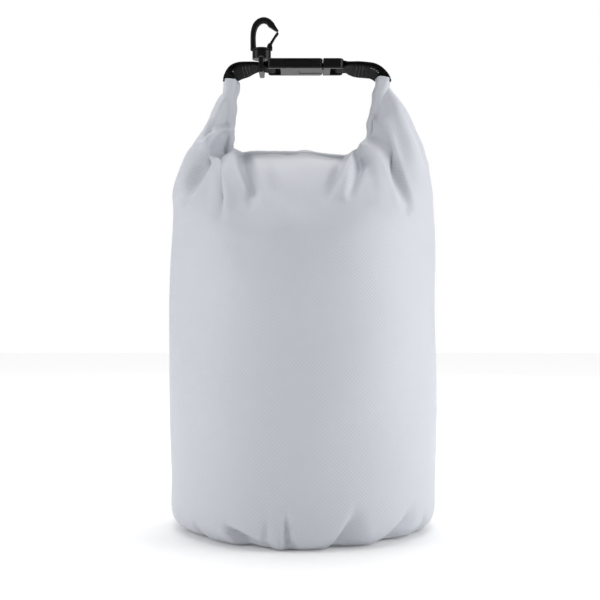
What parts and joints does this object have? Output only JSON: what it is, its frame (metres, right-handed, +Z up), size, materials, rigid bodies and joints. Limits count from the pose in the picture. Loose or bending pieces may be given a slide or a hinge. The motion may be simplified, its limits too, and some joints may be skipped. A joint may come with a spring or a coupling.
{
  "type": "dry bag",
  "caption": "Roll-top dry bag, filled and standing, its rolled mouth buckled into a carrying loop that holds a swivel snap hook.",
  "frame": {"origin": "middle of the round base, on the ground", "axes": "+Z up, -Y the front, +X towards the male half of the buckle"},
  "size_m": [0.2122, 0.212, 0.4076],
  "materials": {
    "bag_fabric": "coated ripstop, satin",
    "seam_tape": "translucent tape, satin",
    "webbing": "woven, matt",
    "stiffener": "plain strip",
    "thread": "sewn thread",
    "buckle_plastic": "moulded, semi-gloss",
    "hook_plastic": "moulded, gloss"
  },
  "bodies": {
    "bag": {"base_panel": "bag_fabric", "tube_panel": "bag_fabric", "neck_panel": "bag_fabric", "neck_left": "bag_fabric", "neck_right": "bag_fabric", "mouth_roll": "bag_fabric", "base_seam_tape": "seam_tape", "side_seam_tape": "seam_tape", "hem_webbing": "webbing", "webbing_tab_left": "webbing", "webbing_tab_right": "webbing", "stiffener_strip": "stiffener", "tack_left": "thread", "tack_right": "thread", "buckle_socket": "buckle_plastic", "buckle_plug": "buckle_plastic"},
    "hook_eye": {"swivel_eye": "hook_plastic"},
    "hook": {"snap_hook": "hook_plastic"},
    "gate": {"hook_gate": "hook_plastic"},
    "front_prong": {"prong_front": "buckle_plastic"},
    "back_prong": {"prong_back": "buckle_plastic"}
  },
  "joints": [
    {"name": "hook_swing", "type": "hinge", "parent": "bag", "child": "hook_eye", "pos_m": [-0.0333, 0, 0.3674], "axis": [0, 1, 0], "range_deg": [-25, 15]},
    {"name": "hook_swivel", "type": "hinge", "parent": "hook_eye", "child": "hook", "pos_m": [-0.0333, 0, 0.38], "axis": [0, 0, 1], "continuous": true},
    {"name": "gate_opening", "type": "hinge", "parent": "hook", "child": "gate", "pos_m": [-0.0267, 0, 0.3845], "axis": [0, -1, 0], "range_deg": [0, 30], "stiffness_Nm_per_rad": 0.0005, "springref_deg": -2.29},
    {"name": "front_button", "type": "hinge", "parent": "bag", "child": "front_prong", "pos_m": [0.0145, -0.01265, 0.3674], "axis": [0, 0, -1], "range_deg": [0, 12], "stiffness_Nm_per_rad": 0.05, "springref_deg": -1.15},
    {"name": "back_button", "type": "hinge", "parent": "bag", "child": "back_prong", "pos_m": [0.0145, 0.01265, 0.3674], "axis": [0, 0, 1], "range_deg": [0, 12], "stiffness_Nm_per_rad": 0.05, "springref_deg": -1.15}
  ]
}
